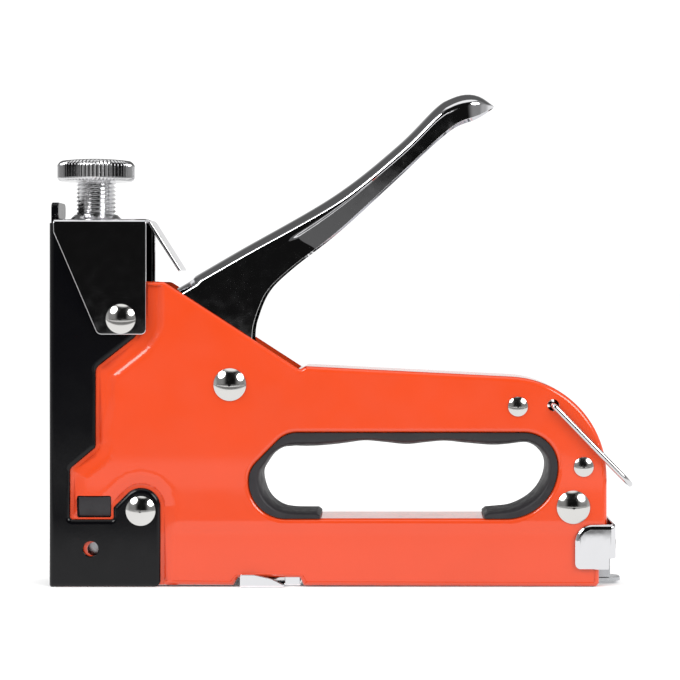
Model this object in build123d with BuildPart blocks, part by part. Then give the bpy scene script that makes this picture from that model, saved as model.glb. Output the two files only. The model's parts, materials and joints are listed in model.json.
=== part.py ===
"""Heavy-duty hand staple gun: pressed steel body, squeeze lever, tension knob, slide-out magazine.

Millimetres, +Z up. X runs from the nose (-X) to the rear, Y across the body.
The origin is the middle of the staple exit, in the flat face that is pressed on the work.
"""

from build123d import *
from math import sqrt
import os

os.makedirs("parts", exist_ok=True)

# ---- driving dimensions ----
BODY_LENGTH = 171.1
SHEET = 1.0
SHELL_HALF = 11.5
SEAM_HALF_GAP = 0.05
STEP_IN = 0.9
FIT = 0.05
PLATE_HOLE_FIT = 0.1

NOSE_SHEET = 1.2
NOSE_HALF = 11.9
NOSE_FRONT = -2.0
NOSE_TOP = 113.0
BRACKET_HALF = 13.2
BRACKET_TOP = 114.1
BRACKET_SHEET = 1.1

SPRING_X = 11.0
SPRING_GUIDE_RADIUS = 4.4
HAMMER_BASE = 40.0
HAMMER_TOP = 49.0
LUG_FRONT = 7.2
LUG_LENGTH = 9.9
SEAT_BASE = 98.0
SEAT_TOP = 101.0
THREAD_RADIUS = 6.3
COLLAR_NECK = 7.2
COLLAR_FLANGE = 8.4
COLLAR_CREST = 6.7
COLLAR_RISE = 1.7
KNOB_RADIUS = 12.1
KNOB_BASE = 126.3
KNOB_TOP = 133.4
KNURLS = 60

PIVOT = (54.1, 62.8)
LEVER_HALF = 9.2
LEVER_SHEET = 1.2
LEVER_INNER = LEVER_HALF - LEVER_SHEET
LEVER_TIP_X = 127.4
WEB_START = 41.5
LIFT_PIN = (29.85, 54.92)
LIFT_ROLLER_RADIUS = 3.0
LIFT_PIN_RADIUS = 1.5
BUSH_RADIUS = 4.2
LIFT_PLAY = 0.2
RETURN_WIRE = 0.6
RETURN_RADIUS = BUSH_RADIUS + 1.2
RETURN_TURNS = 5

RING_PIVOT = (154.4, 56.4)
RING_REACH = 34.4
RING_WIRE = 0.9
RING_HALF = 12.75
RING_END = 8.6
RING_HOLE_RADIUS = 1.85
RING_DROOP = 45.8

RAIL_HALF = 4.4
RAIL_TOP = 15.0
RAIL_BASE = 2.2
RAIL_FRONT = 1.8
RAIL_REAR = 172.7
CAP_REAR = 173.8
CAP_SHEET = 1.0
CHANNEL_HALF = 5.8
CHANNEL_TOP = 17.5
CHANNEL_BASE = 1.2
CHANNEL_LENGTH = 164.0
MOUTH_WIDTH = 15.0
ROD_Z = 8.6
ROD_RADIUS = 1.5

BRACKET_RIVET = (20.5, 83.2)
NOSE_RIVET = (26.5, 23.7)
REAR_RIVET = (160.6, 24.8)
GRIP_RIVETS = [(143.4, 56.0), (163.8, 37.3)]
BRACKET_RIVET_RADIUS = 1.5
NOSE_RIVET_RADIUS = 2.0
PIVOT_RIVET_RADIUS = 3.0
REAR_RIVET_RADIUS = 2.5
GRIP_RIVET_RADIUS = 1.6
SIGHT_HOLE = (11.0, 11.9)
SIGHT_HOLE_RADIUS = 2.35
SHELL_SIGHT_HOLE = (11.8, 11.7)
CROSS_DEPTH = 40.0
CATCH_PIVOT = (73.4, 5.6)
CATCH_PIN_RADIUS = 1.0
CATCH_LEAF_TOP = 1.0
CATCH_HALF = 12.75


# ---- outlines in the side plane ----
def outline(*corners):
    """Closed face from (x, z, corner radius) triples."""
    with BuildSketch() as flat:
        with BuildLine():
            FilletPolyline(
                *[(x, z) for x, z, _ in corners],
                radius=[r for _, _, r in corners],
                close=True,
            )
        make_face()
    return flat.sketch


def rectangle(x0, z0, x1, z1, radius=0.0):
    """Face spanning two opposite corners, with optional corner rounding."""
    return outline((x0, z0, radius), (x1, z0, radius), (x1, z1, radius), (x0, z1, radius))


def grown(face, amount):
    """The face with its edge moved outwards by amount, or inwards when negative."""
    with BuildSketch() as flat:
        add(face)
        offset(amount=amount, kind=Kind.ARC if amount > 0 else Kind.INTERSECTION, mode=Mode.REPLACE)
    return flat.sketch


GRIP_HOLE = outline(
    (60.0, 21.2, 11.5),
    (60.0, 36.2, 7.5),
    (71.3, 47.75, 8.5),
    (155.7, 47.75, 10.4),
    (155.7, 21.2, 16.0),
)

SHELL_OUTLINE = outline(
    (0.0, 94.8, 0.0),
    (33.6, 94.8, 3.2),
    (75.8, 67.5, 0.8),
    (77.5, 68.5, 0.8),
    (BODY_LENGTH, 63.75, 31.0),
    (BODY_LENGTH, 15.0, 2.0),
    (168.7, 10.0, 2.0),
    (168.7, 0.05, 1.5),
    (76.9, 0.3, 0.6),
    (75.8, 2.8, 0.8),
    (56.6, 2.8, 0.8),
    (55.2, 0.4, 0.6),
    (32.7, 0.55, 0.0),
    (0.0, 0.55, 0.0),
)

NOSE_SIDE = outline(
    (NOSE_FRONT, 0.0, 0.6),
    (32.7, 0.0, 2.0),
    (32.7, 30.9, 6.1),
    (23.9, 30.9, 6.1),
    (17.8, 24.8, 0.8),
    (17.8, 21.2, 0.5),
    (4.7, 21.2, 0.5),
    (4.7, 36.6, 1.5),
    (12.65, 43.2, 2.0),
    (12.65, 67.8, 2.5),
    (24.6, 77.2, 2.5),
    (27.5, 81.5, 2.0),
    (27.5, NOSE_TOP, 0.0),
    (NOSE_FRONT, NOSE_TOP, 0.0),
)


# ---- shared makers ----
def dome_middle(half_width, rise):
    """Height, at half the half width, of a round cap centred on its axis."""
    ball = (half_width**2 + rise**2) / (2 * rise)
    return sqrt(ball**2 - (half_width / 2) ** 2) - (ball - rise)


def rivet(place, head_radius, dome, shaft_radius, seat):
    """Round-headed rivet through both sides of the body, its heads seated at Y = -seat and +seat."""
    rim = seat + 0.35
    top = seat + dome
    with BuildPart() as made:
        with BuildSketch(Plane.XY):
            with BuildLine():
                Polyline((0, top), (0, 0), (shaft_radius, 0), (shaft_radius, seat),
                         (head_radius, seat), (head_radius, rim))
                middle = (head_radius / 2, rim + dome_middle(head_radius, top - rim))
                ThreePointArc((head_radius, rim), middle, (0, top))
            make_face()
        revolve(axis=Axis.Y)
        mirror(about=Plane.XZ)
    return made.part.moved(Location((place[0], 0, place[1])))


def side_hole(place, radius):
    """Cutter for a round hole across the body, centred on the mid-plane."""
    with BuildPart() as cutter:
        with BuildSketch(Plane.XZ):
            with Locations(place):
                Circle(radius)
        extrude(amount=CROSS_DEPTH, both=True)
    return cutter.part


def coil(start_plane, radius, wire, length, turns):
    """Round-wire compression coil that starts at start_plane and runs along its normal."""
    with BuildPart() as made:
        with BuildLine() as path:
            Helix(pitch=length / turns, height=length, radius=radius)
        with BuildSketch(Plane(origin=path.line @ 0, z_dir=path.line % 0)):
            Circle(wire)
        sweep()
    return made.part.moved(start_plane.location)


def save(piece, name):
    """Label a finished piece and write it as one STEP file."""
    piece.label = name
    export_step(piece, f"parts/{name}.step")


# ---- body shells ----
NOSE_STEP = grown(NOSE_SIDE, 1.1)
HOLE_WALL = grown(GRIP_HOLE, SHEET)

SHELL_CAVITY = outline(
    (-5.0, 100.0, 0.0),
    (30.0, 100.0, 0.0),
    (75.4, 71.5, 0.0),
    (75.4, 67.6, 0.0),
    (BODY_LENGTH - SHEET, 62.75, 30.0),
    (BODY_LENGTH - SHEET, 15.0, 2.0),
    (167.7, 10.0, 2.0),
    (167.7, -5.0, 0.0),
    (-5.0, -5.0, 0.0),
)

with BuildPart() as left_shell:
    with BuildSketch(Plane.XZ.offset(SEAM_HALF_GAP)):
        add(SHELL_OUTLINE)
        add(GRIP_HOLE, mode=Mode.SUBTRACT)
    extrude(amount=SHELL_HALF - SEAM_HALF_GAP)
    fillet(left_shell.faces().sort_by(Axis.Y)[0].edges(), radius=1.6)
    with BuildSketch(Plane.XZ.offset(SHELL_HALF - STEP_IN)):
        add(NOSE_STEP)
    extrude(amount=CROSS_DEPTH, mode=Mode.SUBTRACT)
    with BuildSketch(Plane.XZ):
        add(SHELL_CAVITY)
        add(HOLE_WALL, mode=Mode.SUBTRACT)
    extrude(amount=SHELL_HALF - STEP_IN - SHEET, mode=Mode.SUBTRACT)
    with BuildSketch(Plane.XZ.offset(SHELL_HALF - STEP_IN - SHEET)):
        add(SHELL_CAVITY)
        add(HOLE_WALL, mode=Mode.SUBTRACT)
        add(grown(NOSE_STEP, SHEET), mode=Mode.SUBTRACT)
    extrude(amount=STEP_IN, mode=Mode.SUBTRACT)
    # window for the bumper lug, magazine mouth in the rear wall, rivet and ring holes
    with BuildSketch(Plane.XZ):
        add(rectangle(6.6, 21.5, 17.2, 28.3, 0.6))
    extrude(amount=CROSS_DEPTH, mode=Mode.SUBTRACT)
    with BuildSketch(Plane.YZ.offset(150.0)):
        with Locations((0, CHANNEL_TOP / 2)):
            Rectangle(MOUTH_WIDTH, CHANNEL_TOP + 2.0)
    extrude(amount=CROSS_DEPTH, mode=Mode.SUBTRACT)
    add(side_hole(SHELL_SIGHT_HOLE, SIGHT_HOLE_RADIUS - 0.25), mode=Mode.SUBTRACT)
    add(side_hole(BRACKET_RIVET, BRACKET_RIVET_RADIUS + PLATE_HOLE_FIT), mode=Mode.SUBTRACT)
    add(side_hole(NOSE_RIVET, NOSE_RIVET_RADIUS + PLATE_HOLE_FIT), mode=Mode.SUBTRACT)
    add(side_hole(PIVOT, PIVOT_RIVET_RADIUS + PLATE_HOLE_FIT), mode=Mode.SUBTRACT)
    add(side_hole(REAR_RIVET, REAR_RIVET_RADIUS + PLATE_HOLE_FIT), mode=Mode.SUBTRACT)
    add(side_hole(RING_PIVOT, RING_HOLE_RADIUS), mode=Mode.SUBTRACT)
    for place in GRIP_RIVETS:
        add(side_hole(place, GRIP_RIVET_RADIUS + PLATE_HOLE_FIT), mode=Mode.SUBTRACT)
save(left_shell.part, "left_shell")

with BuildPart() as right_shell:
    mirror(left_shell.part, about=Plane.XZ)
save(right_shell.part, "right_shell")


# ---- nose ----
HEM_TOP = 119.5
HEM_HALF = 7.5
HEM_ROOT = NOSE_TOP - 4.0
HEM_FOLD = BRACKET_TOP + 0.3

with BuildPart() as nose_channel:
    with BuildSketch(Plane.XZ):
        add(NOSE_SIDE)
    extrude(amount=NOSE_HALF, both=True)
    fillet(
        nose_channel.edges().filter_by(Axis.Z).group_by(Axis.X)[0],
        radius=1.8,
    )
    with BuildSketch(Plane.XY.offset(-1.0)):
        with Locations((50.0 + NOSE_FRONT + NOSE_SHEET, 0)):
            Rectangle(100.0, 2 * (NOSE_HALF - NOSE_SHEET))
    extrude(amount=NOSE_TOP + 2.0, mode=Mode.SUBTRACT)
    # folded hem that stands above the bracket
    with BuildSketch(Plane.YZ.offset(NOSE_FRONT)):
        with Locations((0, (HEM_ROOT + HEM_TOP) / 2)):
            RectangleRounded(2 * HEM_HALF, HEM_TOP - HEM_ROOT, 1.9)
    extrude(amount=NOSE_SHEET)
    with BuildSketch(Plane.YZ.offset(NOSE_FRONT + NOSE_SHEET)):
        with Locations((0, (HEM_FOLD + HEM_TOP) / 2)):
            RectangleRounded(2 * HEM_HALF, HEM_TOP - HEM_FOLD, 1.9)
    extrude(amount=1.05)
    with BuildSketch(Plane.YZ.offset(NOSE_FRONT)):
        with Locations((0, 116.2)):
            Circle(2.0)
    extrude(amount=-0.5)
    add(side_hole(SIGHT_HOLE, SIGHT_HOLE_RADIUS), mode=Mode.SUBTRACT)
    add(side_hole(BRACKET_RIVET, BRACKET_RIVET_RADIUS + PLATE_HOLE_FIT), mode=Mode.SUBTRACT)
    add(side_hole(NOSE_RIVET, NOSE_RIVET_RADIUS + PLATE_HOLE_FIT), mode=Mode.SUBTRACT)
save(nose_channel.part, "nose_channel")


with BuildPart() as bumper_block:
    with BuildSketch(Plane.XZ):
        add(rectangle(1.6, CHANNEL_TOP + 0.1, 19.6, HAMMER_BASE - 0.1, 1.2))
    extrude(amount=9.3, both=True)
    # locating lug through both shells, its lower half slanting inwards
    with BuildSketch(Plane.YZ.offset(LUG_FRONT)):
        with BuildLine():
            Polyline(
                (-10.2, 21.9), (-11.3, 24.7), (-11.3, 28.0),
                (11.3, 28.0), (11.3, 24.7), (10.2, 21.9),
                close=True,
            )
        make_face()
    extrude(amount=LUG_LENGTH)
save(bumper_block.part, "bumper_block")


# ---- tension bracket, collar and knob ----
BRACKET_SIDE = outline(
    (-0.5, BRACKET_TOP, 0.0),
    (-0.4, 110.1, 1.0),
    (13.2, 78.3, 2.0),
    (28.3, 78.3, 1.6),
    (28.3, BRACKET_TOP, 0.0),
)
TONGUE = outline(
    (27.0, 113.0, 0.0),
    (28.1, 113.0, 0.6),
    (37.9, 97.8, 0.3),
    (38.8, 98.3, 0.3),
    (28.8, BRACKET_TOP, 1.4),
    (27.0, BRACKET_TOP, 0.0),
)

with BuildPart() as tension_bracket:
    with BuildSketch(Plane.XZ):
        add(BRACKET_SIDE)
    extrude(amount=BRACKET_HALF, both=True)
    fillet(
        tension_bracket.edges().filter_by(Axis.X).group_by(Axis.Z)[-1],
        radius=1.6,
    )
    with BuildSketch(Plane.YZ.offset(-10.0)):
        with Locations((0, (BRACKET_TOP - BRACKET_SHEET) / 2)):
            Rectangle(2 * (BRACKET_HALF - BRACKET_SHEET), BRACKET_TOP - BRACKET_SHEET)
    extrude(amount=60.0, mode=Mode.SUBTRACT)
    with BuildSketch(Plane.XZ):
        add(TONGUE)
    extrude(amount=8.75, both=True)
    with BuildSketch(Plane.XY.offset(BRACKET_TOP - 5.0)):
        with Locations((SPRING_X, 0)):
            Circle(COLLAR_NECK + FIT)
    extrude(amount=10.0, mode=Mode.SUBTRACT)
    add(side_hole(BRACKET_RIVET, BRACKET_RIVET_RADIUS + PLATE_HOLE_FIT), mode=Mode.SUBTRACT)
save(tension_bracket.part, "tension_bracket")

with BuildPart() as collar_nut:
    for height, radius in [(0.0, COLLAR_FLANGE), (COLLAR_RISE, COLLAR_CREST)]:
        with BuildSketch(Plane.XY.offset(BRACKET_TOP + height)):
            with Locations((SPRING_X, 0)):
                Circle(radius)
    loft()
    with BuildSketch(Plane.XY.offset(BRACKET_TOP - 3.0)):
        with Locations((SPRING_X, 0)):
            Circle(COLLAR_NECK)
    extrude(amount=3.0)
    with BuildSketch(Plane.XY.offset(BRACKET_TOP - 5.0)):
        with Locations((SPRING_X, 0)):
            Circle(THREAD_RADIUS + FIT)
    extrude(amount=10.0, mode=Mode.SUBTRACT)
save(collar_nut.part, "collar_nut")


with BuildPart() as tension_knob:
    with BuildSketch(Plane.XZ):
        with BuildLine():
            Polyline(
                (0, SEAT_TOP), (THREAD_RADIUS - 0.9, SEAT_TOP), (THREAD_RADIUS, SEAT_TOP + 0.9),
                (THREAD_RADIUS, KNOB_BASE), (KNOB_RADIUS - 0.7, KNOB_BASE),
                (KNOB_RADIUS, KNOB_BASE + 0.7), (KNOB_RADIUS, KNOB_TOP - 1.9),
                (KNOB_RADIUS - 0.9, KNOB_TOP - 0.9),
            )
            cap_half = KNOB_RADIUS - 0.9
            cap_middle = (cap_half / 2, KNOB_TOP - 0.9 + dome_middle(cap_half, 0.9))
            ThreePointArc((cap_half, KNOB_TOP - 0.9), cap_middle, (0, KNOB_TOP))
            Line((0, KNOB_TOP), (0, SEAT_TOP))
        make_face()
    revolve(axis=Axis.Z)
    with BuildSketch(Plane.XY.offset(KNOB_BASE - 1.0)):
        with PolarLocations(KNOB_RADIUS + 0.1, KNURLS):
            Rectangle(0.75, 0.75, rotation=45)
    extrude(amount=KNOB_TOP - KNOB_BASE + 2.0, mode=Mode.SUBTRACT)
tension_knob.part = tension_knob.part.moved(Location((SPRING_X, 0, 0)))
save(tension_knob.part, "tension_knob")

with BuildPart() as spring_seat:
    with BuildSketch(Plane.XY.offset(SEAT_BASE)):
        with Locations((SPRING_X, 0)):
            RectangleRounded(16.0, 18.0, 2.0)
    extrude(amount=SEAT_TOP - SEAT_BASE - FIT)
    with BuildSketch(Plane.XY.offset(SEAT_BASE - 5.0)):
        with Locations((SPRING_X, 0)):
            Circle(SPRING_GUIDE_RADIUS)
    extrude(amount=5.0)
save(spring_seat.part, "spring_seat")


# ---- striking parts ----
SPRING_WIRE = 1.2
main_spring = coil(
    Plane((SPRING_X, 0, HAMMER_TOP + SPRING_WIRE)),
    radius=6.2,
    wire=SPRING_WIRE,
    length=SEAT_BASE - HAMMER_TOP - 2 * SPRING_WIRE,
    turns=8,
)
save(main_spring, "main_spring")

LIFT_WINDOW_HALF_HEIGHT = LIFT_ROLLER_RADIUS + LIFT_PLAY
with BuildPart() as hammer_block:
    with BuildSketch(Plane.XZ):
        add(rectangle(1.0, HAMMER_BASE, 19.0, HAMMER_TOP, 1.0))
    extrude(amount=8.0, both=True)
    with BuildSketch(Plane.XZ):
        add(outline(
            (17.0, HAMMER_BASE + 2.0, 0.5), (26.0, HAMMER_BASE + 2.0, 4.0),
            (36.6, 47.0, 4.0), (36.6, 62.0, 3.0), (20.0, 62.0, 2.0),
            (19.2, HAMMER_TOP, 0.3), (17.0, HAMMER_TOP, 0.3),
        ))
        add(
            rectangle(
                LIFT_PIN[0] - 5.2, LIFT_PIN[1] - LIFT_WINDOW_HALF_HEIGHT,
                LIFT_PIN[0] + 3.6, LIFT_PIN[1] + LIFT_WINDOW_HALF_HEIGHT, 1.0,
            ),
            mode=Mode.SUBTRACT,
        )
    extrude(amount=5.0, both=True)
    with BuildSketch(Plane.XY.offset(HAMMER_TOP)):
        with Locations((SPRING_X, 0)):
            Circle(SPRING_GUIDE_RADIUS)
    extrude(amount=5.0)
save(hammer_block.part, "hammer_block")

BLADE_TONGUE = 24.0
with BuildPart() as driver_blade:
    with BuildSketch(Plane.YZ.offset(-0.45)):
        with Locations((0, BLADE_TONGUE / 2)):
            Rectangle(11.2, BLADE_TONGUE)
        with Locations((0, (BLADE_TONGUE + HAMMER_TOP - 1.0) / 2)):
            Rectangle(15.0, HAMMER_TOP - 1.0 - BLADE_TONGUE)
    extrude(amount=1.3)
save(driver_blade.part, "driver_blade")

with BuildPart() as blade_rivets:
    with BuildSketch(Plane.YZ.offset(-0.75)):
        with Locations((-4.5, HAMMER_BASE + 4.5), (4.5, HAMMER_BASE + 4.5)):
            Circle(1.6)
    extrude(amount=0.3)
save(blade_rivets.part, "blade_rivets")


# ---- squeeze lever ----
def lever_profile():
    """Side view of the lever, from its tip down to the pivot and the lifting toe."""
    with BuildSketch() as flat:
        with BuildLine():
            back = Spline(
                (36.2, 92.9), (55.4, 104.1), (85.5, 121.4),
                (105.7, 137.2), (117.8, 149.2),
                (127.5, 153.7), (134.6, 151.6),
            )
            tip = Polyline(back @ 1, (136.6, 149.8), (135.2, 148.4))
            belly = Spline(
                tip @ 1, (126.0, 144.7), (116.3, 137.2), (104.3, 125.9), (87.0, 110.1),
                (72.7, 98.9), (65.2, 91.4), (61.4, 82.3), (60.7, 77.1),
            )
            heel = Line(belly @ 1, (62.4, 66.5))
            boss = ThreePointArc(heel @ 1, (58.5, 54.9), (49.3, 54.7))
            toe = Line(boss @ 1, (31.2, 50.2))
            nose = ThreePointArc(toe @ 1, (25.2, 53.7), (29.0, 59.6))
            Spline(nose @ 1, (36.5, 66.0), (36.6, 80.0), back @ 0)
        make_face()
    return flat.sketch


def lever_plan(half_width):
    """Lever seen from above: parallel sides and a round tip."""
    with BuildSketch() as flat:
        with Locations((LEVER_TIP_X / 2, 0)):
            Rectangle(LEVER_TIP_X, 2 * half_width)
        with Locations((LEVER_TIP_X, 0)):
            Circle(half_width)
    return flat.sketch


with BuildPart() as lever_hollow:
    with BuildSketch(Plane.XZ):
        with BuildLine():
            roof = Spline(
                (36.2, 91.5), (55.4, 102.7), (85.5, 120.0), (105.7, 135.8),
                (117.8, 147.6), (127.5, 152.2), (136.6, 148.6),
            )
            Polyline(roof @ 1, (150.0, 40.0), (10.0, 40.0), (10.0, 91.5), roof @ 0)
        make_face()
        with Locations((WEB_START - 15.0, 85.0)):
            Rectangle(30.0, 50.0)
    extrude(amount=LEVER_INNER, both=True)
    with BuildSketch(Plane.XY.offset(30.0)):
        add(lever_plan(LEVER_INNER))
    extrude(amount=130.0, mode=Mode.INTERSECT)

with BuildPart() as handle_lever:
    with BuildSketch(Plane.XZ):
        add(lever_profile())
    extrude(amount=LEVER_HALF, both=True)
    back_edges = handle_lever.faces().sort_by(Axis.Z)[-1].edges().group_by(Axis.Y)
    fillet(back_edges[0] + back_edges[-1], radius=2.2)
    with BuildSketch(Plane.XY.offset(30.0)):
        add(lever_plan(LEVER_HALF))
    extrude(amount=130.0, mode=Mode.INTERSECT)
    add(lever_hollow.part, mode=Mode.SUBTRACT)
    add(side_hole(PIVOT, BUSH_RADIUS), mode=Mode.SUBTRACT)
    add(side_hole(LIFT_PIN, LIFT_PIN_RADIUS), mode=Mode.SUBTRACT)
save(handle_lever.part, "handle_lever")

with BuildPart() as pivot_bushing:
    with BuildSketch(Plane.XZ):
        with Locations(PIVOT):
            Circle(BUSH_RADIUS)
            Circle(PIVOT_RIVET_RADIUS + FIT, mode=Mode.SUBTRACT)
    extrude(amount=LEVER_HALF, both=True)
save(pivot_bushing.part, "pivot_bushing")

with BuildPart() as lift_pin:
    with BuildSketch(Plane.XZ):
        with Locations(LIFT_PIN):
            Circle(LIFT_PIN_RADIUS)
    extrude(amount=LEVER_HALF, both=True)
save(lift_pin.part, "lift_pin")

with BuildPart() as lift_roller:
    with BuildSketch(Plane.XZ):
        with Locations(LIFT_PIN):
            Circle(LIFT_ROLLER_RADIUS)
            Circle(LIFT_PIN_RADIUS + FIT, mode=Mode.SUBTRACT)
    extrude(amount=LEVER_INNER - 0.2, both=True)
save(lift_roller.part, "lift_roller")

return_spring = coil(
    Plane(origin=(PIVOT[0], 5.0, PIVOT[1]), x_dir=(1, 0, 0), z_dir=(0, -1, 0)),
    radius=RETURN_RADIUS,
    wire=RETURN_WIRE,
    length=10.0,
    turns=RETURN_TURNS,
)
save(return_spring, "handle_return_spring")


# ---- fasteners ----
save(rivet(BRACKET_RIVET, 4.6, 2.0, BRACKET_RIVET_RADIUS, BRACKET_HALF), "bracket_rivet")
save(rivet(PIVOT, 5.05, 2.2, PIVOT_RIVET_RADIUS, SHELL_HALF), "handle_pivot_rivet")
save(rivet(NOSE_RIVET, 4.6, 2.0, NOSE_RIVET_RADIUS, NOSE_HALF), "nose_rivet")
save(rivet(REAR_RIVET, 5.15, 2.2, REAR_RIVET_RADIUS, SHELL_HALF), "rear_rivet")
grip_rivets = Compound(
    children=[rivet(place, 3.05, 1.3, GRIP_RIVET_RADIUS, SHELL_HALF) for place in GRIP_RIVETS]
)
save(grip_rivets, "grip_rivets")

with BuildPart() as spacer_sleeves:
    for place, bore in [(REAR_RIVET, REAR_RIVET_RADIUS)] + [(p, GRIP_RIVET_RADIUS) for p in GRIP_RIVETS]:
        with BuildSketch(Plane.XZ):
            with Locations(place):
                Circle(bore + 1.2)
                Circle(bore + FIT, mode=Mode.SUBTRACT)
        extrude(amount=SHELL_HALF - SHEET - FIT, both=True)
save(spacer_sleeves.part, "spacer_sleeves")


# ---- lever lock ring ----
RING_END_BEND = 4.0
with BuildPart() as lock_ring:
    with BuildLine() as ring_path:
        FilletPolyline(
            (0, -RING_END, 0), (0, -RING_HALF, 0), (RING_REACH, -RING_HALF, 0),
            (RING_REACH, RING_HALF, 0), (0, RING_HALF, 0), (0, RING_END, 0),
            radius=[1.2, RING_END_BEND, RING_END_BEND, 1.2],
        )
    with BuildSketch(Plane(origin=ring_path.line @ 0, z_dir=ring_path.line % 0)):
        Circle(RING_WIRE)
    sweep()
ring_place = Location((RING_PIVOT[0], 0, RING_PIVOT[1]), (0, RING_DROOP, 0))
save(lock_ring.part.moved(ring_place), "lock_ring")


# ---- grip liner ----
LINER_HALF = 11.3
LINER_FREE = outline(
    (65.6, 33.0, 5.0),
    (66.4, 38.4, 4.0),
    (77.7, 44.1, 6.0),
    (94.5, 46.6, 14.0),
    (108.7, 43.7, 12.0),
    (121.0, 46.6, 14.0),
    (134.5, 43.7, 10.0),
    (145.5, 45.6, 4.0),
    (152.2, 41.0, 4.0),
    (152.6, 34.0, 5.0),
    (147.5, 27.0, 6.0),
    (138.0, 23.4, 6.0),
    (133.0, 23.4, 0.5),
    (133.0, 15.0, 0.0),
    (82.0, 15.0, 0.0),
    (82.0, 23.4, 0.5),
    (73.0, 23.4, 5.0),
    (66.0, 28.0, 5.0),
)
with BuildPart() as grip_liner:
    with BuildSketch(Plane.XZ):
        add(GRIP_HOLE)
        add(LINER_FREE, mode=Mode.SUBTRACT)
    extrude(amount=LINER_HALF, both=True)
save(grip_liner.part, "grip_liner")


# ---- staple channel ----
with BuildPart() as magazine_channel:
    with BuildSketch(Plane.YZ.offset(RAIL_FRONT - 0.6)):
        with Locations((0, CHANNEL_TOP - SHEET / 2)):
            Rectangle(2 * (SHELL_HALF - STEP_IN - SHEET - FIT), SHEET)
        for side in (-1, 1):
            with Locations((side * (CHANNEL_HALF + SHEET / 2), (CHANNEL_TOP + CHANNEL_BASE) / 2)):
                Rectangle(SHEET, CHANNEL_TOP - CHANNEL_BASE)
    extrude(amount=CHANNEL_LENGTH)
    with BuildSketch(Plane.XZ):
        add(rectangle(54.0, 0.0, 80.0, 3.4))
    extrude(amount=CROSS_DEPTH, both=True, mode=Mode.SUBTRACT)
    with BuildSketch(Plane.XZ):
        with Locations(CATCH_PIVOT):
            Circle(CATCH_PIN_RADIUS)
    extrude(amount=CROSS_DEPTH, both=True, mode=Mode.SUBTRACT)
save(magazine_channel.part, "magazine_channel")


# ---- sliding magazine ----
SLOT_HALF = 1.1
CAP_RIVET_SPOTS = [(-2.4, 12.4), (2.4, 12.4)]
CAP_RIVET_RADIUS = 1.1
with BuildPart() as magazine_rail:
    with BuildSketch(Plane.YZ.offset(RAIL_FRONT)):
        with Locations((0, (RAIL_TOP + RAIL_BASE) / 2)):
            Rectangle(2 * RAIL_HALF, RAIL_TOP - RAIL_BASE)
        with Locations((0, (RAIL_TOP - SHEET + RAIL_BASE - 2.0) / 2)):
            Rectangle(2 * (RAIL_HALF - SHEET), RAIL_TOP - SHEET - RAIL_BASE + 2.0, mode=Mode.SUBTRACT)
    extrude(amount=RAIL_REAR - RAIL_FRONT)
    for plate_x in (RAIL_FRONT, RAIL_REAR - SHEET):
        with BuildSketch(Plane.YZ.offset(plate_x)):
            with Locations((0, (RAIL_TOP + RAIL_BASE) / 2)):
                Rectangle(2 * RAIL_HALF, RAIL_TOP - RAIL_BASE)
            with Locations((0, ROD_Z)):
                Circle(ROD_RADIUS, mode=Mode.SUBTRACT)
        extrude(amount=SHEET)
    with BuildSketch(Plane.YZ.offset(RAIL_REAR - 3.0)):
        with Locations(*CAP_RIVET_SPOTS):
            Circle(CAP_RIVET_RADIUS)
    extrude(amount=5.0, mode=Mode.SUBTRACT)
    with BuildSketch(Plane.XY.offset(RAIL_TOP - 2 * SHEET)):
        with Locations((82.0, 0)):
            SlotOverall(144.0, 2 * SLOT_HALF)
    extrude(amount=3 * SHEET, mode=Mode.SUBTRACT)
    # finger tongue under the rear end
    with BuildSketch(Plane.XY.offset(0.9)):
        with Locations((170.2, 0)):
            RectangleRounded(11.6, 2 * RAIL_HALF, 2.8)
    extrude(amount=1.0)
    with BuildSketch(Plane.XZ):
        add(rectangle(165.0, 1.8, 168.0, 3.0))
    extrude(amount=RAIL_HALF, both=True)
save(magazine_rail.part, "magazine_rail")

with BuildPart() as guide_rod:
    with BuildSketch(Plane.YZ.offset(RAIL_FRONT)):
        with Locations((0, ROD_Z)):
            Circle(ROD_RADIUS)
    extrude(amount=RAIL_REAR - RAIL_FRONT)
save(guide_rod.part, "guide_rod")

CAP_HALF = 12.8
with BuildPart() as rear_cap:
    with BuildSketch(Plane.XZ):
        add(outline(
            (160.7, 5.1, 2.2), (CAP_REAR, 5.1, 1.0), (CAP_REAR, 19.8, 1.0), (160.7, 19.8, 5.8),
        ))
    extrude(amount=CAP_HALF, both=True)
    fillet(rear_cap.edges().filter_by(Axis.Z).group_by(Axis.X)[-1], radius=2.0)
    with BuildSketch(Plane.XY):
        with Locations((CAP_REAR - CAP_SHEET - 15.0, 0)):
            RectangleRounded(30.0, 2 * (CAP_HALF - CAP_SHEET), 1.0)
    extrude(amount=40.0, mode=Mode.SUBTRACT)
    with BuildSketch(Plane.XZ):
        add(rectangle(171.6, 0.0, 180.0, 9.0))
    extrude(amount=CROSS_DEPTH, both=True, mode=Mode.SUBTRACT)
    with BuildSketch(Plane.YZ.offset(170.0)):
        with Locations(*CAP_RIVET_SPOTS):
            Circle(CAP_RIVET_RADIUS)
    extrude(amount=10.0, mode=Mode.SUBTRACT)
save(rear_cap.part, "rear_cap")

with BuildPart() as cap_rivets:
    with BuildSketch(Plane.YZ.offset(RAIL_REAR - SHEET)):
        with Locations(*CAP_RIVET_SPOTS):
            Circle(CAP_RIVET_RADIUS)
    extrude(amount=CAP_REAR - RAIL_REAR + SHEET)
    with BuildSketch(Plane.YZ.offset(CAP_REAR)):
        with Locations(*CAP_RIVET_SPOTS):
            Circle(2.0)
    extrude(amount=0.9, taper=30)
save(cap_rivets.part, "cap_rivets")

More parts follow.
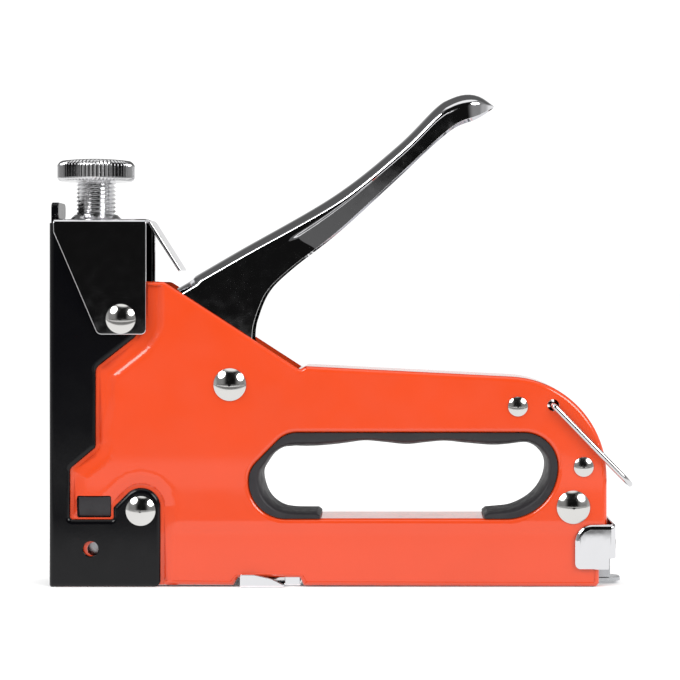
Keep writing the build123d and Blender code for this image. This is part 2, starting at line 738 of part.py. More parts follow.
PUSHER_START = 3.4
PUSHER_LENGTH = 14.0
with BuildPart() as pusher:
    with BuildSketch(Plane.YZ.offset(PUSHER_START)):
        with Locations((0, RAIL_TOP + 0.7)):
            Rectangle(11.0, 0.8)
        for side in (-1, 1):
            with Locations((side * 5.1, RAIL_TOP - 4.9)):
                Rectangle(0.8, 12.0)
    extrude(amount=PUSHER_LENGTH)
    with BuildSketch(Plane.YZ.offset(PUSHER_START + 8.6)):
        with Locations((0, (RAIL_TOP + 0.7 + ROD_Z) / 2)):
            Rectangle(1.6, RAIL_TOP + 0.7 - ROD_Z)
        with Locations((0, ROD_Z)):
            Circle(2.7)
            Circle(ROD_RADIUS + FIT, mode=Mode.SUBTRACT)
    extrude(amount=4.0)
    with BuildSketch(Plane.YZ.offset(PUSHER_START)):
        with Locations((0, ROD_Z)):
            Circle(ROD_RADIUS + FIT)
    extrude(amount=CROSS_DEPTH, mode=Mode.SUBTRACT)
save(pusher.part, "pusher")

PUSHER_SPRING_START = PUSHER_START + 13.2
PUSHER_SPRING_WIRE = 0.4
pusher_spring = coil(
    Plane(origin=(PUSHER_SPRING_START, 0, ROD_Z), x_dir=(0, 1, 0), z_dir=(1, 0, 0)),
    radius=2.4,
    wire=PUSHER_SPRING_WIRE,
    length=RAIL_REAR - SHEET - PUSHER_SPRING_START - 0.6,
    turns=40,
)
save(pusher_spring, "pusher_spring")


# ---- magazine catch ----
with BuildPart() as release_catch:
    with BuildSketch(Plane.XZ):
        add(rectangle(57.3, 0.1, 75.4, CATCH_LEAF_TOP, 0.4))
    extrude(amount=CATCH_HALF, both=True)
    with BuildSketch(Plane.XZ):
        add(outline(
            (57.3, 0.1, 0.4), (57.3, 4.05, 0.6), (61.6, 4.0, 3.0), (67.0, 2.8, 6.0),
            (70.6, 1.0, 0.2), (70.6, 0.1, 0.2),
        ))
    extrude(amount=CATCH_HALF, both=True)
    with BuildSketch(Plane.XZ):
        add(rectangle(50.0, CATCH_LEAF_TOP, 80.0, 8.0))
    extrude(amount=11.8, both=True, mode=Mode.SUBTRACT)
    with BuildSketch(Plane.XZ):
        add(rectangle(70.9, -1.0, 80.0, 8.0))
    extrude(amount=CROSS_DEPTH, both=True, mode=Mode.SUBTRACT)
    with BuildSketch(Plane.XZ):
        add(rectangle(68.0, 0.1, 76.0, CATCH_LEAF_TOP, 0.4))
        add(outline(
            (71.0, 0.3, 0.3), (71.0, 6.6, 1.6), (73.4, 8.2, 1.8), (75.8, 6.6, 1.6), (75.8, 0.3, 0.3),
        ))
        with Locations(CATCH_PIVOT):
            Circle(CATCH_PIN_RADIUS + FIT, mode=Mode.SUBTRACT)
    extrude(amount=9.2, both=True)
    with BuildSketch(Plane.XZ):
        add(rectangle(60.0, CATCH_LEAF_TOP, 80.0, 12.0))
    extrude(amount=8.2, both=True, mode=Mode.SUBTRACT)
save(release_catch.part, "release_catch")

with BuildPart() as catch_pins:
    for side in (-1, 1):
        with BuildSketch(Plane.XZ.offset(side * CHANNEL_HALF)):
            with Locations(CATCH_PIVOT):
                Circle(CATCH_PIN_RADIUS)
        extrude(amount=side * (SHELL_HALF - SHEET - CHANNEL_HALF - FIT))
save(catch_pins.part, "catch_pins")
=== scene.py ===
"""Staple gun: materials, finer meshes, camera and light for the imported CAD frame.

Metres, in the frame's own axes: +X from the nose to the rear, +Z up, camera side at -Y.
"""

import json
import math

import bmesh
import bpy
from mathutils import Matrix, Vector


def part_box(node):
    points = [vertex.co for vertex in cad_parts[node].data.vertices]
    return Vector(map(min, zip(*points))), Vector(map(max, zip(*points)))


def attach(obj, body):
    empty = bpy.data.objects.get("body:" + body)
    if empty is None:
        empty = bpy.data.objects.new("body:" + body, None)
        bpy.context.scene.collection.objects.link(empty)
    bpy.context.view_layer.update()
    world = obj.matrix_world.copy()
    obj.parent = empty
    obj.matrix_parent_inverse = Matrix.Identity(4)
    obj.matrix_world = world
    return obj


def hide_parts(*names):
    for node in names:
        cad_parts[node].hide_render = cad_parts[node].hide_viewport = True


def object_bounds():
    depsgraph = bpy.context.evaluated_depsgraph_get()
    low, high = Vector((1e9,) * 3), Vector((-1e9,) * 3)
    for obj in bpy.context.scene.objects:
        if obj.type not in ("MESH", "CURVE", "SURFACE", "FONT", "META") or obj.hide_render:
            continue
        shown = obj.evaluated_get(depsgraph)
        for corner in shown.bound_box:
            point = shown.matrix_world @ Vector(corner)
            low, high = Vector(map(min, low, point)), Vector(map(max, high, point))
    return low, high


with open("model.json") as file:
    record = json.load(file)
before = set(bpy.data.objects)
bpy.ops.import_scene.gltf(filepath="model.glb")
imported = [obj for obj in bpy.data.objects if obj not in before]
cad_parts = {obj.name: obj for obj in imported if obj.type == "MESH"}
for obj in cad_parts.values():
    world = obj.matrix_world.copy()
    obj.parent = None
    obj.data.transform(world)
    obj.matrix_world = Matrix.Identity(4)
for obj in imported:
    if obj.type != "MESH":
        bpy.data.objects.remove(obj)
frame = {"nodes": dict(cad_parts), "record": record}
CAD_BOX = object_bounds()
NODES = frame["nodes"]
MM = 0.001
SPLINE_STEPS = 24
SAME_POINT = 1e-6


# ---- small helpers ----
def smoothstep(low, high, value):
    """0 below low, 1 above high, and a soft ramp between them."""
    t = min(max((value - low) / (high - low), 0.0), 1.0)
    return t * t * (3 - 2 * t)


def evenly(points, count):
    """count + 1 points at equal steps along a run of points."""
    lengths = [0.0]
    for before, after in zip(points, points[1:]):
        lengths.append(lengths[-1] + (after - before).length)
    samples, k = [], 0
    for i in range(count + 1):
        want = lengths[-1] * i / count
        while k < len(points) - 2 and lengths[k + 1] < want:
            k += 1
        part = (want - lengths[k]) / max(lengths[k + 1] - lengths[k], 1e-9)
        samples.append(points[k].lerp(points[k + 1], part))
    return samples


def through(points, count):
    """Catmull-Rom curve through 2-D points, as count + 1 evenly spaced samples."""
    fine = []
    ends = [points[0]] + list(points) + [points[-1]]
    for i in range(len(points) - 1):
        a, b, c, d = (Vector(p) for p in ends[i : i + 4])
        for step in range(SPLINE_STEPS):
            t = step / SPLINE_STEPS
            fine.append(0.5 * (2 * b + (c - a) * t + (2 * a - 5 * b + 4 * c - d) * t**2
                               + (3 * b - a - 3 * c + d) * t**3))
    fine.append(Vector(points[-1]))
    return evenly(fine, count)


def finish_mesh(mesh, angle=35.0):
    """Outward normals, smooth shading, and hard edges where faces meet above the angle."""
    work = bmesh.new()
    work.from_mesh(mesh)
    bmesh.ops.remove_doubles(work, verts=work.verts, dist=SAME_POINT)
    bmesh.ops.recalc_face_normals(work, faces=work.faces)
    for face in work.faces:
        face.smooth = True
    for edge in work.edges:
        edge.smooth = len(edge.link_faces) == 2 and edge.calc_face_angle(0.0) < math.radians(angle)
    work.to_mesh(mesh)
    work.free()


def piece(name, verts, faces, body, node, look):
    """A mesh piece in metres that stands for one CAD node and rides on its body."""
    mesh = bpy.data.meshes.new(name)
    mesh.from_pydata([tuple(v) for v in verts], [], faces)
    mesh.update()
    finish_mesh(mesh)
    mesh.materials.append(look)
    made = bpy.data.objects.new(name, mesh)
    bpy.context.scene.collection.objects.link(made)
    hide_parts(node)
    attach(made, body)
    return made


def grid_faces(rows, columns, closed=False, start=0):
    """Quads between rows of points; closed joins the last column to the first."""
    faces = []
    for r in range(rows - 1):
        for c in range(columns if closed else columns - 1):
            after = (c + 1) % columns
            faces.append((start + r * columns + c, start + r * columns + after,
                          start + (r + 1) * columns + after, start + (r + 1) * columns + c))
    return faces


# ---- materials ----
class Look:
    """A Principled material with procedural variation, built node by node."""

    def __init__(self, name):
        self.material = bpy.data.materials.new(name)
        self.material.use_nodes = True
        self.tree = self.material.node_tree
        self.shader = self.tree.nodes["Principled BSDF"]
        self.place = self.tree.nodes.new("ShaderNodeTexCoord")

    def node(self, kind, **settings):
        made = self.tree.nodes.new(kind)
        for key, value in settings.items():
            if key in made.inputs:
                made.inputs[key].default_value = value
            else:
                setattr(made, key, value)
        return made

    def link(self, source, target):
        self.tree.links.new(source, target)

    def noise(self, scale, detail=3.0, stretch=(1, 1, 1)):
        mapping = self.node("ShaderNodeMapping")
        mapping.inputs["Scale"].default_value = stretch
        self.link(self.place.outputs["Object"], mapping.inputs["Vector"])
        made = self.node("ShaderNodeTexNoise", Scale=scale, Detail=detail)
        self.link(mapping.outputs["Vector"], made.inputs["Vector"])
        return made.outputs["Fac"]

    def ramp(self, source, low, high, socket):
        """Drives a number socket from low to high as the source runs over its middle range."""
        spread = self.node("ShaderNodeMapRange")
        spread.inputs["From Min"].default_value = 0.35
        spread.inputs["From Max"].default_value = 0.65
        spread.inputs["To Min"].default_value = low
        spread.inputs["To Max"].default_value = high
        self.link(source, spread.inputs["Value"])
        self.link(spread.outputs["Result"], self.shader.inputs[socket])

    def tint(self, source, dark, light):
        """Base colour between two tones."""
        mix = self.node("ShaderNodeMix", data_type="RGBA")
        colour_in = [s for s in mix.inputs if s.type == "RGBA"]
        colour_in[0].default_value = (*dark, 1.0)
        colour_in[1].default_value = (*light, 1.0)
        self.link(source, mix.inputs["Factor"])
        self.link([s for s in mix.outputs if s.type == "RGBA"][0], self.shader.inputs["Base Color"])

    def bump(self, source, depth, strength=1.0):
        """Fine relief of the given depth in metres."""
        made = self.node("ShaderNodeBump", Strength=strength, Distance=depth)
        self.link(source, made.inputs["Height"])
        self.link(made.outputs["Normal"], self.shader.inputs["Normal"])


def enamel(name, dark, light, roughness, coat, gloss):
    """Sprayed gloss paint with faint orange peel and handling marks."""
    look = Look(name)
    look.tint(look.noise(38.0), dark, light)
    look.ramp(look.noise(120.0, 5.0), roughness, roughness + 0.07, "Roughness")
    look.shader.inputs["Specular IOR Level"].default_value = gloss
    look.shader.inputs["Coat Weight"].default_value = coat
    look.shader.inputs["Coat Roughness"].default_value = 0.04
    look.bump(look.noise(900.0, 2.0), 0.00002, 0.35)
    return look.material


def plating(name, dark, light, roughness, spread, relief=0.00001, stretch=(1, 1, 1)):
    """Polished or plated metal with cloudy haze, fine marks and a little waviness."""
    look = Look(name)
    look.shader.inputs["Metallic"].default_value = 1.0
    look.tint(look.noise(55.0, 4.0, stretch), dark, light)
    look.ramp(look.noise(300.0, 6.0, stretch), roughness, roughness + spread, "Roughness")
    look.bump(look.noise(160.0, 3.0, stretch), relief, 0.3)
    return look.material


def moulded_rubber(name):
    """Soft black rubber with a fine matt grain."""
    look = Look(name)
    look.tint(look.noise(70.0, 5.0), (0.013, 0.012, 0.014), (0.024, 0.022, 0.026))
    look.ramp(look.noise(400.0, 4.0), 0.42, 0.60, "Roughness")
    look.bump(look.noise(2600.0, 2.0), 0.00005, 0.5)
    return look.material


LOOKS = {
    "orange_paint": enamel("orange_paint", (0.57, 0.048, 0.007), (0.63, 0.054, 0.010), 0.15, 0.8, 0.45),
    "black_paint": enamel(
        "black_paint", (0.0012, 0.0012, 0.0018), (0.0024, 0.0024, 0.0032), 0.11, 0.0, 0.32
    ),
    "chrome": plating("chrome", (0.80, 0.80, 0.82), (0.90, 0.90, 0.92), 0.03, 0.05),
    "bright_nickel": plating("bright_nickel", (0.72, 0.72, 0.73), (0.86, 0.86, 0.87), 0.10, 0.08),
    "polished_rivet": plating("polished_rivet", (0.74, 0.73, 0.71), (0.86, 0.85, 0.83), 0.08, 0.08),
    "black_rubber": moulded_rubber("black_rubber"),
    "spring_steel": plating("spring_steel", (0.26, 0.26, 0.28), (0.40, 0.40, 0.42), 0.28, 0.15),
    "plain_steel": plating(
        "plain_steel", (0.38, 0.38, 0.39), (0.52, 0.52, 0.53), 0.25, 0.15, stretch=(1, 1, 12)
    ),
    "zinc_steel": plating("zinc_steel", (0.52, 0.53, 0.55), (0.68, 0.69, 0.71), 0.22, 0.15),
}

SLOT_OF = {s["node"]: s["material_slot"] for s in frame["record"]["subparts"]}
for node_name, node in NODES.items():
    node.data.materials.clear()
    node.data.materials.append(LOOKS[SLOT_OF[node_name]])


# ---- outlines shared by the pieces, in millimetres in the side plane ----
def rounded(corners, step=6.0):
    """Points along (x, z, radius) corners, with a point every step degrees of each arc."""
    points = []
    for i, (x, z, radius) in enumerate(corners):
        here = Vector((x, z))
        before = Vector(corners[i - 1][:2]) - here
        after = Vector(corners[(i + 1) % len(corners)][:2]) - here
        if radius == 0:
            points.append(here)
            continue
        half = before.angle(after) / 2
        middle = here + (before.normalized() + after.normalized()).normalized() * radius / math.sin(half)
        start = here + before.normalized() * radius / math.tan(half) - middle
        end = here + after.normalized() * radius / math.tan(half) - middle
        turn = start.angle_signed(end)
        count = max(2, round(abs(math.degrees(turn)) / step))
        for k in range(count + 1):
            bend = -turn * k / count
            points.append(middle + Vector((start.x * math.cos(bend) - start.y * math.sin(bend),
                                           start.x * math.sin(bend) + start.y * math.cos(bend))))
    return points


def read_off(keys, where):
    """Softly interpolated value from (place, value) keys."""
    for (a, va), (b, vb) in zip(keys, keys[1:]):
        if where <= b:
            return va + (vb - va) * smoothstep(a, b, where)
    return keys[-1][1]


NOSE_EDGE = rounded([
    (-2.0, 0.0, 0.6), (32.7, 0.0, 2.0), (32.7, 30.9, 6.1), (23.9, 30.9, 6.1),
    (17.8, 24.8, 0.8), (17.8, 21.2, 0.5), (4.7, 21.2, 0.5), (4.7, 36.6, 1.5), (12.65, 43.2, 2.0),
    (12.65, 67.8, 2.5), (24.6, 77.2, 2.5), (27.5, 81.5, 2.0), (27.5, 113.0, 0.0), (-2.0, 113.0, 0.0),
], step=30.0)
GRIP_EDGE = [
    (82.0, 21.2, 0.0), (60.0, 21.2, 11.5), (60.0, 36.2, 7.5), (71.3, 47.75, 8.5),
    (155.7, 47.75, 10.4), (155.7, 21.2, 16.0), (133.0, 21.2, 0.0),
]


# ---- body shells: soft shoulder beside the nose and a soft lower band ----
SHOULDER_LOW = (0.4, 5.4)
SHOULDER_HIGH = (3.9, 6.4)
SHOULDER_TURN = (46.0, 60.0)
SHOULDER_DROP = 0.9 * MM
BAND_EDGE = (16.2, 20.4)
BAND_START = (33.5, 38.0)
BAND_DROP = 0.35 * MM
NOSE_REACH = 42.0
SLICE = 0.8


def outside_nose(x, z):
    """Distance in millimetres from the nose plate's edge, 0 under the plate."""
    here, nearest, inside = Vector((x, z)), 1e9, False
    for a, b in zip(NOSE_EDGE, NOSE_EDGE[1:] + NOSE_EDGE[:1]):
        along = b - a
        t = min(max((here - a).dot(along) / max(along.length_squared, 1e-12), 0.0), 1.0)
        nearest = min(nearest, (here - a - along * t).length)
        if (a.y > z) != (b.y > z) and x < a.x + (z - a.y) / (b.y - a.y) * (b.x - a.x):
            inside = not inside
    return 0.0 if inside else nearest


def skin_of(work, depth_of):
    """Faces of the outer skin near the nose or across the lower band, with their edges and corners."""
    skin = []
    for face in work.faces:
        if max(depth_of(v) for v in face.verts) > SHOULDER_DROP + 0.05 * MM:
            continue
        beside_nose = min(v.co.x for v in face.verts) < NOSE_REACH * MM
        crosses_band = min(v.co.z for v in face.verts) < 0.021
        if beside_nose or crosses_band:
            skin.append(face)
    parts = set(skin)
    parts.update(e for f in skin for e in f.edges)
    parts.update(v for f in skin for v in f.verts)
    return list(parts)


def pressed_shell(node, side):
    """The CAD shell with its step beside the nose drawn out into a soft pressing."""
    face_y = abs(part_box(node)[0].y if side < 0 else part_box(node)[1].y)
    work = bmesh.new()
    work.from_mesh(NODES[node].data)
    bmesh.ops.remove_doubles(work, verts=work.verts, dist=SAME_POINT)

    def depth_of(vert):
        return face_y - side * vert.co.y

    def cut(places, normal):
        """Slices the skin at the given places, in millimetres along the normal."""
        parts = skin_of(work, depth_of)
        for place in places:
            sliced = bmesh.ops.bisect_plane(
                work, geom=parts, dist=1e-7, plane_no=normal, plane_co=Vector(normal) * place * MM
            )
            parts = sliced["geom"]

    cut([3.0 + SLICE * k for k in range(48)], (1, 0, 0))
    cut([0.4 + SLICE * k for k in range(120)], (0, 0, 1))
    for vert in work.verts:
        depth = depth_of(vert)
        if abs(depth) < 0.02 * MM or abs(depth - SHOULDER_DROP) < 0.02 * MM:
            x, z = vert.co.x / MM, vert.co.z / MM
            beside = outside_nose(x, z) if x < NOSE_REACH else NOSE_REACH
            high = smoothstep(*SHOULDER_TURN, z)
            start, end = (low + (top - low) * high for low, top in zip(SHOULDER_LOW, SHOULDER_HIGH))
            shoulder = SHOULDER_DROP * (1 - smoothstep(start, end, beside))
            band = BAND_DROP * (1 - smoothstep(*BAND_EDGE, z)) * smoothstep(*BAND_START, x)
            vert.co.y = side * (face_y - max(shoulder, band))
    mesh = bpy.data.meshes.new(node + "_pressed")
    work.to_mesh(mesh)
    work.free()
    finish_mesh(mesh, 40.0)
    mesh.materials.append(LOOKS["orange_paint"])
    made = bpy.data.objects.new(node + "_pressed", mesh)
    bpy.context.scene.collection.objects.link(made)
    made.modifiers.new("even_normals", "WEIGHTED_NORMAL").keep_sharp = True
    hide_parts(node)
    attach(made, "body")


pressed_shell("left_shell", -1)
pressed_shell("right_shell", 1)


# ---- squeeze lever: folded sheet with a crowned roof, tight corners and a spoon tip ----
LEVER_LENGTH_STEPS = 84
LEVER_SHEET = 1.2
LEVER_BACK = [(36.2, 92.9), (55.4, 104.1), (85.5, 121.4), (105.7, 137.2), (117.8, 149.2),
              (122.6, 152.3), (127.5, 153.7), (132.0, 153.0), (136.4, 150.0)]
LEVER_BELLY = [(60.7, 77.1), (61.4, 82.3), (65.2, 91.4), (72.7, 98.9), (87.0, 110.1), (104.3, 125.9),
               (116.3, 137.2), (122.3, 142.4), (126.0, 144.7), (131.3, 146.6), (136.3, 149.5)]
LEVER_CORNERS = [(0.0, 1.1), (0.5, 1.7), (0.8, 2.2), (1.0, 4.0)]
ROOF_SLOPE = 0.58
ROOF_DIP = 0.6
TIP_START = 125.5
WEB_START = 41.5
PANEL = (0.30, 0.90)
PANEL_LEAN = 0.06


def lever_section(back, belly, along, half, sheet):
    """Half of one U-shaped section, from the lip over a tight corner to the crowned roof, as (y, x, z)."""
    down = belly - back
    height = down.length
    down.normalize()
    slope = min(ROOF_SLOPE, 0.6 * height / half)
    tilt = math.atan(slope)
    width = half - sheet
    radius = max(min(read_off(LEVER_CORNERS, along), half * 0.5, height * 0.3) - sheet * 0.7, 0.1 * width)
    edge = width - radius + radius * math.sin(tilt)
    crown = edge * slope / 2
    roof = min(sheet, height * 0.3) + ROOF_DIP * (1 - smoothstep(WEB_START - 0.7, WEB_START + 0.7, back.x))
    corner = roof + crown + radius * math.cos(tilt)
    points = []
    for k in range(20):
        fall = height + (corner - height) * k / 19
        reach = (height - fall) / height
        inset = 0.2 * (1 - smoothstep(0.52, 0.58, reach)) + PANEL_LEAN * height * max(0.55 - reach, 0.0)
        inset *= smoothstep(PANEL[0], PANEL[0] + 0.015, along - 0.05 * (reach - 0.28) ** 2)
        inset *= 1 - smoothstep(PANEL[1] - 0.05, PANEL[1], along)
        points.append((-(width - inset), fall))
    for k in range(1, 13):
        turn = (math.pi / 2 - tilt) * k / 12
        points.append((-(width - radius + radius * math.cos(turn)), corner - radius * math.sin(turn)))
    for k in range(1, 9):
        part = 1 - k / 8
        points.append((-edge * part, roof + crown * part ** 2))
    return [(y, *(back + down * fall)) for y, fall in points]


def squeeze_lever():
    """The folded lever above the body, with its cheeks running down to the pivot and the lifting toe."""
    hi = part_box("handle_lever")[1]
    half_width = hi.y / MM
    back = through(LEVER_BACK, LEVER_LENGTH_STEPS)
    belly = through(LEVER_BELLY, LEVER_LENGTH_STEPS)
    rows = []
    for i in range(LEVER_LENGTH_STEPS + 1):
        along = i / LEVER_LENGTH_STEPS
        over = max(0.0, back[i].x - TIP_START) / (hi.x / MM - TIP_START + 0.05)
        half = half_width * math.sqrt(max(1 - over**2, 0.0)) + 0.02
        outer = lever_section(back[i], belly[i], along, half, 0.0)
        inner = lever_section(back[i], belly[i], along, half, min(LEVER_SHEET, half * 0.5))
        outer += [(-y, x, z) for y, x, z in reversed(outer[:-1])]
        inner += [(-y, x, z) for y, x, z in reversed(inner[:-1])]
        rows.append(outer + inner[::-1])
    columns = len(rows[0])
    verts = [Vector((x, y, z)) * MM for row in rows for y, x, z in row]
    faces = grid_faces(len(rows), columns, closed=True)
    half_columns = columns // 2

    def closes(index):
        """Quads between the outer and inner skins along one end row."""
        base = index * columns
        return [(base + c, base + c + 1, base + columns - 2 - c, base + columns - 1 - c)
                for c in range(half_columns - 1)]

    faces += closes(0)
    faces += closes(len(rows) - 1)
    cheek = rounded([
        (39.5, 90.8, 0.0), (36.5, 86.5, 2.0), (36.9, 78.0, 6.0), (36.0, 64.0, 4.0), (27.0, 59.6, 4.2),
        (24.6, 50.0, 4.0), (34.0, 50.4, 2.0), (50.0, 53.6, 4.0), (63.2, 55.6, 8.0), (61.8, 70.0, 4.0),
        (60.7, 77.1, 0.0),
    ])
    for side in (-1, 1):
        start = len(verts)
        for y in (half_width, half_width - LEVER_SHEET):
            verts += [Vector((p.x, side * y, p.y)) * MM for p in cheek]
        n = len(cheek)
        faces += [tuple(range(start, start + n)), tuple(range(start + n, start + 2 * n))]
        for k in range(n):
            after = (k + 1) % n
            faces.append((start + k, start + after, start + n + after, start + n + k))
    return piece("lever_folded", verts, faces, "lever", "handle_lever", LOOKS["chrome"])


squeeze_lever()


# ---- tension knob: knurled head and screw thread ----
THREAD_PITCH = 1.25
THREAD_DEPTH = 0.62
KNURLS = 60
KNOB_BASE = 126.3
THREAD_RADIUS = 6.3


def knob():
    """Head and screw turned about the knob's axis, with knurl and thread as real relief."""
    lo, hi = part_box("tension_knob")
    axis_x = (lo.x + hi.x) / 2 / MM
    base, top, head = KNOB_BASE, hi.z / MM, (hi.x - lo.x) / 2 / MM
    shank_end = lo.z / MM
    columns = KNURLS * 8
    rows = [(0.01, base, 0.0), (head - 1.0, base, 0.0), (head - 0.85, base + 0.05, 0.25),
            (head - 0.35, base + 0.45, 0.5), (head, base + 1.0, 0.5), (head, base + 1.1, 0.5)]
    rows += [(head, base + 1.1 + (top - base - 3.2) * k / 6, 0.5) for k in range(1, 7)]
    rows += [(head - 0.25, top - 1.7, 0.45), (head - 0.7, top - 1.15, 0.3), (head - 1.1, top - 0.85, 0.1)]
    rows += [((head - 1.3) * (1 - k / 10) + 0.01, top - 0.75 * (1 - k / 10) ** 2, 0.0) for k in range(11)]
    verts = []
    for radius, z, knurl in rows:
        for c in range(columns):
            ridge = abs((c / 8) % 1 - 0.5) * 2
            r = radius - knurl * (1 - ridge) ** 1.2
            turn = 2 * math.pi * c / columns
            verts.append(Vector((axis_x + r * math.cos(turn), r * math.sin(turn), z)) * MM)
    faces = grid_faces(len(rows), columns, closed=True)
    start, around = len(verts), 72
    steps = round((base - shank_end) / THREAD_PITCH * 10)
    for i in range(steps + 1):
        z = shank_end + (base - shank_end + 0.1) * i / steps
        shown = smoothstep(0.0, 1.2, z - shank_end) * smoothstep(0.0, 0.9, base - z)
        for c in range(around):
            wave = abs((z / THREAD_PITCH - c / around) % 1 - 0.5) * 2
            r = THREAD_RADIUS - THREAD_DEPTH * shown * min(1.0, 1.25 * wave)
            r -= 0.9 * (1 - smoothstep(0, 0.9, z - shank_end))
            turn = 2 * math.pi * c / around
            verts.append(Vector((axis_x + r * math.cos(turn), r * math.sin(turn), z)) * MM)
    faces += grid_faces(steps + 1, around, closed=True, start=start)
    faces.append(tuple(range(start + around - 1, start - 1, -1)))
    look = LOOKS["bright_nickel"]
    return piece("knob_knurled", verts, faces, "knob", "tension_knob", look)


knob()


# ---- grip liner: crowned rubber with finger hollows ----
LINER_STEPS = 170
LINER_ACROSS = 18
# Distance along the wall and thickness there, in millimetres. Each thickness was corrected by what a
# program measured on the photograph, so this is not a hand-chosen profile: named ridges and hollows
# should replace it.
LINER_THICKNESS = [
    (0, 2.1), (8, 2.2), (13, 3.0), (18, 3.8), (25, 4.3), (31, 3.8), (36, 2.8), (40, 2.1), (43, 2.5),
    (46, 3.8), (49, 4.4), (55, 4.6), (61, 4.2), (66, 3.6), (72, 2.8), (78, 3.3), (85, 4.0), (91, 3.4),
    (97, 2.9), (103, 3.5), (111, 4.2), (116, 4.0), (122, 3.3), (130, 3.5), (138, 3.2), (148, 3.4),
    (156, 3.4), (163, 2.7), (170, 2.0),
]


def grip_liner():
    """Moulded liner on the wall of the finger opening, thickest along its middle."""
    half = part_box("grip_liner")[1].y / MM
    wall = evenly(rounded(GRIP_EDGE, 4.0), LINER_STEPS)
    total = sum((b - a).length for a, b in zip(wall, wall[1:]))
    thickness = [tuple(p) for p in through(LINER_THICKNESS, 2 * LINER_STEPS)]
    verts = []
    for i, here in enumerate(wall):
        run = (wall[min(i + 1, LINER_STEPS)] - wall[max(i - 1, 0)]).normalized()
        inward = Vector((run.y, -run.x))
        where = total * i / LINER_STEPS
        thick = read_off(thickness, where)
        end = smoothstep(0, 1.0, where) * smoothstep(0, 1.0, total - where)
        thick *= 0.55 + 0.45 * end
        for k in range(LINER_ACROSS + 1):
            part = -math.cos(math.pi * k / LINER_ACROSS)
            crown = 0.50 + 0.50 * math.sqrt(max(1 - abs(part) ** 2.6, 0.0))
            spot = here + inward * thick * crown
            verts.append(Vector((spot.x, part * half, spot.y)) * MM)
        for part in (1, -1):
            spot = here + inward * 0.02
            verts.append(Vector((spot.x, part * half, spot.y)) * MM)
    columns = LINER_ACROSS + 3
    faces = grid_faces(LINER_STEPS + 1, columns, closed=True)
    faces += [tuple(range(columns)), tuple(range(LINER_STEPS * columns, (LINER_STEPS + 1) * columns))]
    look = LOOKS["black_rubber"]
    return piece("liner_moulded", verts, faces, "body", "grip_liner", look)


grip_liner()


# ---- rounded sheet edges on the pieces that keep their CAD mesh ----
EDGE_ROUND = {
    "tension_bracket": 0.30, "nose_channel": 0.30, "rear_cap": 0.25, "release_catch": 0.2,
    "collar_nut": 0.15, "magazine_channel": 0.15, "bumper_block": 0.3,
}
SEAM_JOIN = {"tension_bracket": 0.3}
for node_name, radius in EDGE_ROUND.items():
    node = NODES[node_name]
    node.modifiers.new("join_seams", "WELD").merge_threshold = SEAM_JOIN.get(node_name, 0.001) * MM
    flat = node.modifiers.new("whole_faces", "DECIMATE")
    flat.decimate_type = "DISSOLVE"
    flat.angle_limit = math.radians(1)
    edge = node.modifiers.new("edge_round", "BEVEL")
    edge.width = radius * MM
    edge.segments = 2
    edge.use_clamp_overlap = False
    edge.limit_method = "ANGLE"
    edge.angle_limit = math.radians(50)
    edge.harden_normals = False
    node.modifiers.new("even_normals", "WEIGHTED_NORMAL").keep_sharp = False


# ---- camera ----
NEAR_FACE_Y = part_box("left_shell")[0].y
camera_data = bpy.data.cameras.new("camera")
camera_data.lens = 111.0
camera_data.sensor_width = 36.0
camera_data.shift_x = -0.088
camera_data.shift_y = -0.081
camera = bpy.data.objects.new("camera", camera_data)
camera.location = (0.1068, NEAR_FACE_Y - 0.65, 0.0937)
camera.rotation_euler = (math.radians(90), 0, 0)
bpy.context.scene.collection.objects.link(camera)
bpy.context.scene.camera = camera
bpy.context.scene.view_settings.view_transform = "Standard"


# ---- stage ----
def plain(name, colour, roughness):
    """Plain studio surface."""
    look = Look(name)
    look.shader.inputs["Base Color"].default_value = (*colour, 1.0)
    look.shader.inputs["Roughness"].default_value = roughness
    look.shader.inputs["Specular IOR Level"].default_value = 0.0
    return look.material


def sheet(name, centre, size, turn, look):
    """Flat stage panel of the given width and depth, turned about X."""
    mesh = bpy.data.meshes.new(name)
    w, d = size[0] / 2, size[1] / 2
    mesh.from_pydata([(-w, -d, 0), (w, -d, 0), (w, d, 0), (-w, d, 0)], [], [(0, 1, 2, 3)])
    mesh.materials.append(look)
    made = bpy.data.objects.new(name, mesh)
    made.location = centre
    made.rotation_euler = (math.radians(turn), 0, 0)
    bpy.context.scene.collection.objects.link(made)
    return made


def reflection_only(panel):
    """The panel is seen in gloss and chrome, and doesn't block or colour the light."""
    panel.visible_camera = False
    panel.visible_diffuse = False
    panel.visible_shadow = False
    panel.visible_transmission = False


def softbox(name, place, aim, size, power):
    """Round soft light that points at a spot."""
    data = bpy.data.lights.new(name, "AREA")
    data.shape = "DISK"
    data.size = size
    data.energy = power
    lamp = bpy.data.objects.new(name, data)
    lamp.location = place
    lamp.rotation_mode = "QUATERNION"
    lamp.rotation_quaternion = (Vector(aim) - Vector(place)).to_track_quat("-Z", "Y")
    bpy.context.scene.collection.objects.link(lamp)


def glow(look, source):
    """Makes a look purely emissive, with its grey level from the source."""
    look.link(source, look.shader.inputs["Emission Color"])
    look.shader.inputs["Emission Strength"].default_value = 1.0
    look.shader.inputs["Base Color"].default_value = (0.0, 0.0, 0.0, 1.0)
    look.shader.inputs["Specular IOR Level"].default_value = 0.0
    look.material.cycles.emission_sampling = "NONE"
    return look.material


def fade(look, source, start, end, low, high):
    """Soft change from low to high as the source goes from start to end."""
    made = look.node("ShaderNodeMapRange", interpolation_type="SMOOTHSTEP")
    for key, value in (("From Min", start), ("From Max", end), ("To Min", low), ("To Max", high)):
        made.inputs[key].default_value = value
    look.link(source, made.inputs["Value"])
    return made.outputs["Result"]


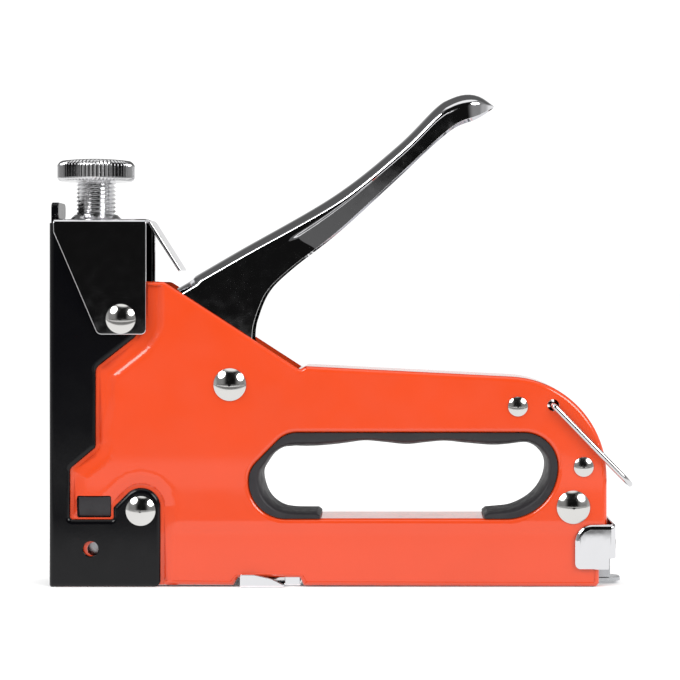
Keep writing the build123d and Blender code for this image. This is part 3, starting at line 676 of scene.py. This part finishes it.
def combine(look, operation, a, b):
    """Two values joined by one arithmetic step."""
    made = look.node("ShaderNodeMath", operation=operation)
    look.link(a, made.inputs[0])
    look.link(b, made.inputs[1])
    return made.outputs["Value"]


def studio_room():
    """Walls that polished metal reflects: dark in front, pale at the back's foot, a bright ceiling."""
    look = Look("studio_room")
    split = look.node("ShaderNodeSeparateXYZ")
    look.link(look.place.outputs["Object"], split.inputs["Vector"])
    x, y, z = (split.outputs[axis] for axis in "XYZ")
    side = look.node("ShaderNodeMath", operation="ABSOLUTE")
    look.link(x, side.inputs[0])
    front = combine(look, "MAXIMUM", fade(look, side.outputs["Value"], 0.30, 0.62, 0.006, 0.24),
                    fade(look, side.outputs["Value"], 0.78, 0.97, 0.0, 0.42))
    back = fade(look, z, 0.0, 0.50, 0.95, 0.11)
    behind = fade(look, y, -0.10, 0.35, 0.0, 1.0)
    ahead = fade(look, y, -0.10, 0.35, 1.0, 0.0)
    front_wall = combine(look, "MULTIPLY", front, ahead)
    back_wall = combine(look, "MULTIPLY", back, behind)
    above = fade(look, z, 0.84, 0.92, 0.0, 1.0)
    ceiling = combine(look, "MULTIPLY", above, fade(look, y, 0.10, 0.40, 1.0, 0.0))
    return glow(look, combine(look, "ADD", combine(look, "ADD", front_wall, back_wall), ceiling))


def table_glow():
    """What gloss and chrome see below: a white table top, a shaded band on it, and a dim floor past it."""
    look = Look("studio_table")
    split = look.node("ShaderNodeSeparateXYZ")
    look.link(look.place.outputs["Object"], split.inputs["Vector"])
    depth = split.outputs["Y"]
    top = combine(look, "MULTIPLY", fade(look, depth, -0.52, -0.44, 0.11, 0.95),
                  fade(look, depth, -0.34, -0.29, 1.0, 0.22))
    return glow(look, combine(look, "MAXIMUM", top, fade(look, depth, -0.160, -0.135, 0.0, 0.95)))


def dome(name, centre, radius, look):
    """Large sphere around the stage."""
    mesh = bpy.data.meshes.new(name)
    shape = bmesh.new()
    bmesh.ops.create_uvsphere(shape, u_segments=48, v_segments=24, radius=1.0)
    shape.to_mesh(mesh)
    shape.free()
    mesh.materials.append(look)
    made = bpy.data.objects.new(name, mesh)
    made.location = centre
    made.scale = (radius, radius, radius)
    bpy.context.scene.collection.objects.link(made)
    return made


CENTRE = (CAD_BOX[0] + CAD_BOX[1]) / 2
sheet("floor", (CENTRE.x, 0, 0), (60.0, 60.0), 0, plain("studio_white", (0.92, 0.92, 0.92), 0.9))
reflection_only(dome("room", (CENTRE.x, 0, 0), 3.0, studio_room()))
reflection_only(sheet("table", (CENTRE.x, 0, 0.0006), (6.0, 6.0), 0, table_glow()))
softbox("softbox_left", (CENTRE.x - 0.67, -0.50, 0.72), CENTRE, 0.56, 5.0)
softbox("softbox_right", (CENTRE.x + 0.69, -0.60, 0.60), CENTRE, 0.56, 5.0)

world = bpy.data.worlds.new("studio")
world.use_nodes = True
world.node_tree.nodes["Background"].inputs["Color"].default_value = (1.0, 1.0, 1.0, 1.0)
world.node_tree.nodes["Background"].inputs["Strength"].default_value = 1.12
bpy.context.scene.world = world
